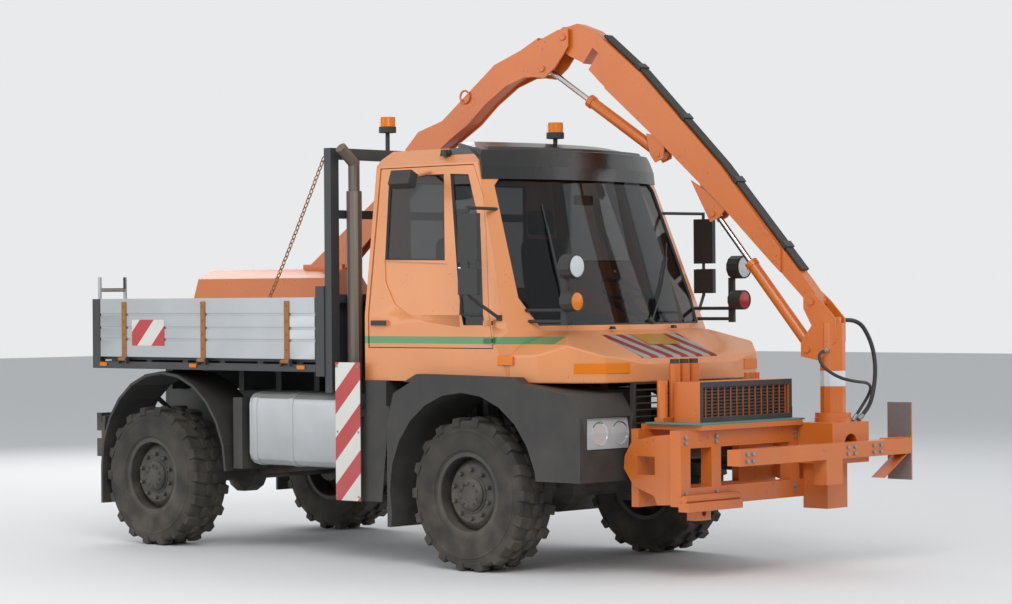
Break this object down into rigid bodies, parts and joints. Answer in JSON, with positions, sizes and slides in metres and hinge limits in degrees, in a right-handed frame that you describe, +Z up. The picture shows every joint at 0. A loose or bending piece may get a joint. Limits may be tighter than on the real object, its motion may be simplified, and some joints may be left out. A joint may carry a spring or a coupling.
{
  "type": "implement-carrier truck with front mowing boom",
  "caption": "Two-seat municipal implement-carrier truck with a drop-side platform and a front-mounted mowing boom folded back over the cab, its flail head resting in the bed.",
  "frame": {"origin": "on the ground under the middle of the whole machine", "axes": "+X to the vehicle's left, +Y to its rear, +Z up"},
  "size_m": [2.566, 6.085, 3.8635],
  "materials": {
    "cab_paint": "semi-gloss, faded by the sun",
    "boom_paint": "semi-gloss, chipped at the pins",
    "dark_frame": "satin, dusty",
    "black_plastic": "grained, sun-bleached",
    "alloy_panel": "ribbed, dull",
    "tank_alloy": "dusty sheet",
    "tyre_rubber": "dusty",
    "rim_paint": "satin",
    "glass": "tinted",
    "rod_chrome": "polished",
    "lamp": "clear",
    "amber": "clear amber",
    "seat_cloth": "woven",
    "dash_plastic": "grained",
    "cast_dark": "oily and dusty",
    "steel_pipe": "heat-stained",
    "board_white": "reflective",
    "teal_paint": "satin",
    "hose_rubber": "satin"
  },
  "bodies": {
    "root": {"beacons": "amber", "bed_front_wall": "dark_frame", "bed_platform": "dark_frame", "bonnet": "cab_paint", "cab_glass": "glass", "cab_shell": "cab_paint", "cab_steps": "black_plastic", "chassis_frame": "dark_frame", "column_housing": "boom_paint", "cross_beam": "dark_frame", "dashboard": "dash_plastic", "engine_and_driveline": "cast_dark", "exhaust_stack": "steel_pipe", "front_axle": "cast_dark", "front_fenders": "black_plastic", "front_lamps": "lamp", "grille": "black_plastic", "headboard": "dark_frame", "hydraulic_filters": "dark_frame", "implement_frame": "dark_frame", "lamp_clusters": "black_plastic", "manifold_plate": "teal_paint", "marker_boards": "board_white", "mirrors": "black_plastic", "oil_cooler": "boom_paint", "rear_axle": "cast_dark", "rear_cab_boxes": "black_plastic", "rear_fenders": "black_plastic", "rear_lamps": "dark_frame", "roof_visor": "black_plastic", "seats": "seat_cloth", "tanks": "tank_alloy"},
    "knuckle_left": {"knuckle_left": "cast_dark"},
    "wheel_front_left": {"tyre_front_left": "tyre_rubber", "rim_front_left": "rim_paint"},
    "wheel_rear_left": {"tyre_rear_left": "tyre_rubber", "rim_rear_left": "rim_paint"},
    "door_left": {"door_left": "cab_paint", "door_glass_left": "glass"},
    "sideboard_left": {"sideboard_left": "alloy_panel"},
    "knuckle_right": {"knuckle_right": "cast_dark"},
    "wheel_front_right": {"tyre_front_right": "tyre_rubber", "rim_front_right": "rim_paint"},
    "wheel_rear_right": {"tyre_rear_right": "tyre_rubber", "rim_rear_right": "rim_paint"},
    "door_right": {"door_right": "cab_paint", "door_glass_right": "glass"},
    "sideboard_right": {"sideboard_right": "alloy_panel"},
    "tailgate": {"tailgate": "alloy_panel"},
    "column": {"column": "boom_paint", "cord_bundle": "hose_rubber", "cord_loop": "hose_rubber"},
    "boom": {"boom": "boom_paint", "boom_hoses": "hose_rubber"},
    "arm": {"arm": "boom_paint"},
    "mower_head": {"mower_head": "boom_paint"},
    "lift_barrel": {"lift_barrel": "boom_paint"},
    "lift_rod": {"lift_rod": "rod_chrome"},
    "fold_barrel": {"fold_barrel": "boom_paint"},
    "fold_rod": {"fold_rod": "rod_chrome"}
  },
  "joints": [
    {"name": "steer_left", "type": "hinge", "parent": "root", "child": "knuckle_left", "pos_m": [0.7, -0.985, 0.53], "axis": [0, 0, 1], "range_deg": [-28, 28]},
    {"name": "roll_front_left", "type": "hinge", "parent": "knuckle_left", "child": "wheel_front_left", "pos_m": [0.935, -0.985, 0.53], "axis": [1, 0, 0], "continuous": true},
    {"name": "roll_rear_left", "type": "hinge", "parent": "root", "child": "wheel_rear_left", "pos_m": [0.935, 2.365, 0.53], "axis": [1, 0, 0], "continuous": true},
    {"name": "door_left_swing", "type": "hinge", "parent": "root", "child": "door_left", "pos_m": [1.072, -1.213, 1.63], "axis": [0, 0, -1], "range_deg": [0, 55]},
    {"name": "sideboard_left_drop", "type": "hinge", "parent": "root", "child": "sideboard_left", "pos_m": [1.168, 1.69, 1.425], "axis": [0, 1, 0], "range_deg": [0, 165]},
    {"name": "steer_right", "type": "hinge", "parent": "root", "child": "knuckle_right", "pos_m": [-0.7, -0.985, 0.53], "axis": [0, 0, 1], "range_deg": [-28, 28]},
    {"name": "roll_front_right", "type": "hinge", "parent": "knuckle_right", "child": "wheel_front_right", "pos_m": [-0.935, -0.985, 0.53], "axis": [1, 0, 0], "continuous": true},
    {"name": "roll_rear_right", "type": "hinge", "parent": "root", "child": "wheel_rear_right", "pos_m": [-0.935, 2.365, 0.53], "axis": [1, 0, 0], "continuous": true},
    {"name": "door_right_swing", "type": "hinge", "parent": "root", "child": "door_right", "pos_m": [-1.072, -1.213, 1.63], "axis": [0, 0, 1], "range_deg": [0, 55]},
    {"name": "sideboard_right_drop", "type": "hinge", "parent": "root", "child": "sideboard_right", "pos_m": [-1.168, 1.69, 1.425], "axis": [0, -1, 0], "range_deg": [0, 165]},
    {"name": "tailgate_drop", "type": "hinge", "parent": "root", "child": "tailgate", "pos_m": [0, 3.011, 1.425], "axis": [-1, 0, 0], "range_deg": [0, 165]},
    {"name": "boom_slew", "type": "hinge", "parent": "root", "child": "column", "pos_m": [0.67, -2.783, 1], "axis": [0, 0, 1], "range_deg": [-42, 0]},
    {"name": "boom_lift", "type": "hinge", "parent": "column", "child": "boom", "pos_m": [0.6504, -2.66461, 1.836], "axis": [0.9866, 0.1633, 0], "range_deg": [0, 33]},
    {"name": "arm_fold", "type": "hinge", "parent": "boom", "child": "arm", "pos_m": [0.32391, -0.69245, 3.767], "axis": [0.9866, 0.1633, 0], "range_deg": [0, 65]},
    {"name": "head_tilt", "type": "hinge", "parent": "arm", "child": "mower_head", "pos_m": [0.09509, 0.68973, 2.8], "axis": [0.9866, 0.1633, 0], "range_deg": [0, 60]},
    {"name": "lift_barrel_turn", "type": "hinge", "parent": "column", "child": "lift_barrel", "pos_m": [0.64468, -2.63008, 1.506], "axis": [0.9866, 0.1633, 0], "range_deg": [-40, 40]},
    {"name": "lift_rod_slide", "type": "slide", "parent": "lift_barrel", "child": "lift_rod", "axis": [-0.1008, 0.6091, 0.7866], "range_m": [-0.05, 0.26]},
    {"name": "fold_barrel_turn", "type": "hinge", "parent": "boom", "child": "fold_barrel", "pos_m": [0.44935, -1.45014, 2.893], "axis": [0.9866, 0.1633, 0], "range_deg": [-40, 40]},
    {"name": "fold_rod_slide", "type": "slide", "parent": "fold_barrel", "child": "fold_rod", "axis": [-0.1345, 0.8124, 0.5674], "range_m": [-0.05, 0.32]}
  ],
  "couplings": [
    {"joint": "steer_right", "follows": "steer_left", "ratio": 1},
    {"joint": "boom_slew", "follows": "boom_lift", "ratio": -1.18},
    {"joint": "lift_barrel_turn", "follows": "boom_lift", "ratio": 0.77812},
    {"joint": "lift_rod_slide", "follows": "boom_lift", "m_per_rad": 0.18259},
    {"joint": "fold_barrel_turn", "follows": "arm_fold", "ratio": 0.10466},
    {"joint": "fold_rod_slide", "follows": "arm_fold", "m_per_rad": 0.23731}
  ]
}
